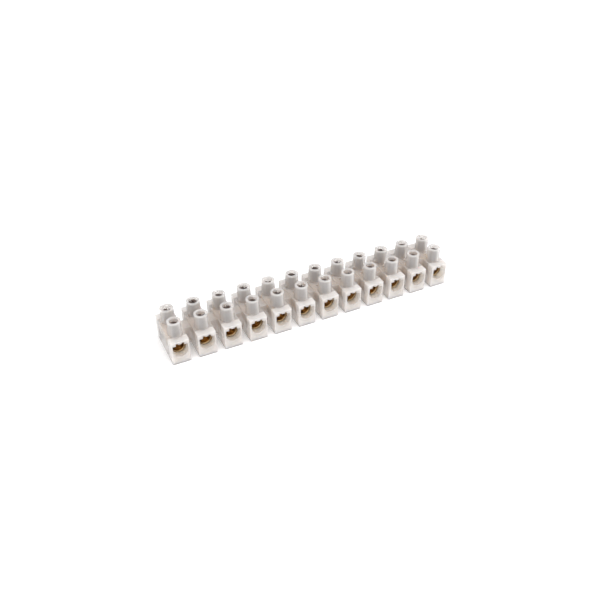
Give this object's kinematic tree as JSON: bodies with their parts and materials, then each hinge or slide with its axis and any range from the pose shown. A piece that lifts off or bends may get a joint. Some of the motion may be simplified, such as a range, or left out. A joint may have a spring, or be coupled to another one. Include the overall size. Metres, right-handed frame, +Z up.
{
  "type": "terminal strip",
  "caption": "Translucent plastic strip of wire connectors: brass barrels in a one-piece housing, each with slotted clamp screws in round towers.",
  "frame": {"origin": "middle of the underside", "axes": "+X along the strip, +Y along the wires, +Z up along the screws"},
  "size_m": [0.1168, 0.019, 0.0154],
  "materials": {
    "housing_plastic": "translucent milky plastic, satin",
    "barrel_brass": "drawn brass, slightly dull",
    "screw_steel": "zinc-plated steel"
  },
  "bodies": {
    "root": {"housing": "housing_plastic", "barrel_01": "barrel_brass", "barrel_02": "barrel_brass", "barrel_03": "barrel_brass", "barrel_04": "barrel_brass", "barrel_05": "barrel_brass", "barrel_06": "barrel_brass", "barrel_07": "barrel_brass", "barrel_08": "barrel_brass", "barrel_09": "barrel_brass", "barrel_10": "barrel_brass", "barrel_11": "barrel_brass", "barrel_12": "barrel_brass"},
    "front_screw_01": {"screw_front_01": "screw_steel"},
    "front_screw_02": {"screw_front_02": "screw_steel"},
    "front_screw_03": {"screw_front_03": "screw_steel"},
    "front_screw_04": {"screw_front_04": "screw_steel"},
    "front_screw_05": {"screw_front_05": "screw_steel"},
    "front_screw_06": {"screw_front_06": "screw_steel"},
    "front_screw_07": {"screw_front_07": "screw_steel"},
    "front_screw_08": {"screw_front_08": "screw_steel"},
    "front_screw_09": {"screw_front_09": "screw_steel"},
    "front_screw_10": {"screw_front_10": "screw_steel"},
    "front_screw_11": {"screw_front_11": "screw_steel"},
    "front_screw_12": {"screw_front_12": "screw_steel"},
    "back_screw_01": {"screw_back_01": "screw_steel"},
    "back_screw_02": {"screw_back_02": "screw_steel"},
    "back_screw_03": {"screw_back_03": "screw_steel"},
    "back_screw_04": {"screw_back_04": "screw_steel"},
    "back_screw_05": {"screw_back_05": "screw_steel"},
    "back_screw_06": {"screw_back_06": "screw_steel"},
    "back_screw_07": {"screw_back_07": "screw_steel"},
    "back_screw_08": {"screw_back_08": "screw_steel"},
    "back_screw_09": {"screw_back_09": "screw_steel"},
    "back_screw_10": {"screw_back_10": "screw_steel"},
    "back_screw_11": {"screw_back_11": "screw_steel"},
    "back_screw_12": {"screw_back_12": "screw_steel"}
  },
  "joints": [
    {"name": "front_01_travel", "type": "slide", "parent": "root", "child": "front_screw_01", "axis": [0, 0, 1], "range_m": [-0.00367, 0.00138]},
    {"name": "front_02_travel", "type": "slide", "parent": "root", "child": "front_screw_02", "axis": [0, 0, 1], "range_m": [-0.00372, 0.00133]},
    {"name": "front_03_travel", "type": "slide", "parent": "root", "child": "front_screw_03", "axis": [0, 0, 1], "range_m": [-0.00402, 0.00104]},
    {"name": "front_04_travel", "type": "slide", "parent": "root", "child": "front_screw_04", "axis": [0, 0, 1], "range_m": [-0.00389, 0.00116]},
    {"name": "front_05_travel", "type": "slide", "parent": "root", "child": "front_screw_05", "axis": [0, 0, 1], "range_m": [-0.00397, 0.00108]},
    {"name": "front_06_travel", "type": "slide", "parent": "root", "child": "front_screw_06", "axis": [0, 0, 1], "range_m": [-0.00394, 0.00111]},
    {"name": "front_07_travel", "type": "slide", "parent": "root", "child": "front_screw_07", "axis": [0, 0, 1], "range_m": [-0.00369, 0.00136]},
    {"name": "front_08_travel", "type": "slide", "parent": "root", "child": "front_screw_08", "axis": [0, 0, 1], "range_m": [-0.00374, 0.00131]},
    {"name": "front_09_travel", "type": "slide", "parent": "root", "child": "front_screw_09", "axis": [0, 0, 1], "range_m": [-0.00379, 0.00126]},
    {"name": "front_10_travel", "type": "slide", "parent": "root", "child": "front_screw_10", "axis": [0, 0, 1], "range_m": [-0.00389, 0.00116]},
    {"name": "front_11_travel", "type": "slide", "parent": "root", "child": "front_screw_11", "axis": [0, 0, 1], "range_m": [-0.00377, 0.00129]},
    {"name": "front_12_travel", "type": "slide", "parent": "root", "child": "front_screw_12", "axis": [0, 0, 1], "range_m": [-0.00384, 0.00121]},
    {"name": "back_01_travel", "type": "slide", "parent": "root", "child": "back_screw_01", "axis": [0, 0, 1], "range_m": [-0.00372, 0.00133]},
    {"name": "back_02_travel", "type": "slide", "parent": "root", "child": "back_screw_02", "axis": [0, 0, 1], "range_m": [-0.00454, 0.00051]},
    {"name": "back_03_travel", "type": "slide", "parent": "root", "child": "back_screw_03", "axis": [0, 0, 1], "range_m": [-0.00389, 0.00116]},
    {"name": "back_04_travel", "type": "slide", "parent": "root", "child": "back_screw_04", "axis": [0, 0, 1], "range_m": [-0.00421, 0.00084]},
    {"name": "back_05_travel", "type": "slide", "parent": "root", "child": "back_screw_05", "axis": [0, 0, 1], "range_m": [-0.00374, 0.00131]},
    {"name": "back_06_travel", "type": "slide", "parent": "root", "child": "back_screw_06", "axis": [0, 0, 1], "range_m": [-0.00414, 0.00091]},
    {"name": "back_07_travel", "type": "slide", "parent": "root", "child": "back_screw_07", "axis": [0, 0, 1], "range_m": [-0.00406, 0.00099]},
    {"name": "back_08_travel", "type": "slide", "parent": "root", "child": "back_screw_08", "axis": [0, 0, 1], "range_m": [-0.00394, 0.00111]},
    {"name": "back_09_travel", "type": "slide", "parent": "root", "child": "back_screw_09", "axis": [0, 0, 1], "range_m": [-0.00412, 0.00094]},
    {"name": "back_10_travel", "type": "slide", "parent": "root", "child": "back_screw_10", "axis": [0, 0, 1], "range_m": [-0.00417, 0.00088]},
    {"name": "back_11_travel", "type": "slide", "parent": "root", "child": "back_screw_11", "axis": [0, 0, 1], "range_m": [-0.00386, 0.00119]},
    {"name": "back_12_travel", "type": "slide", "parent": "root", "child": "back_screw_12", "axis": [0, 0, 1], "range_m": [-0.00369, 0.00136]}
  ]
}
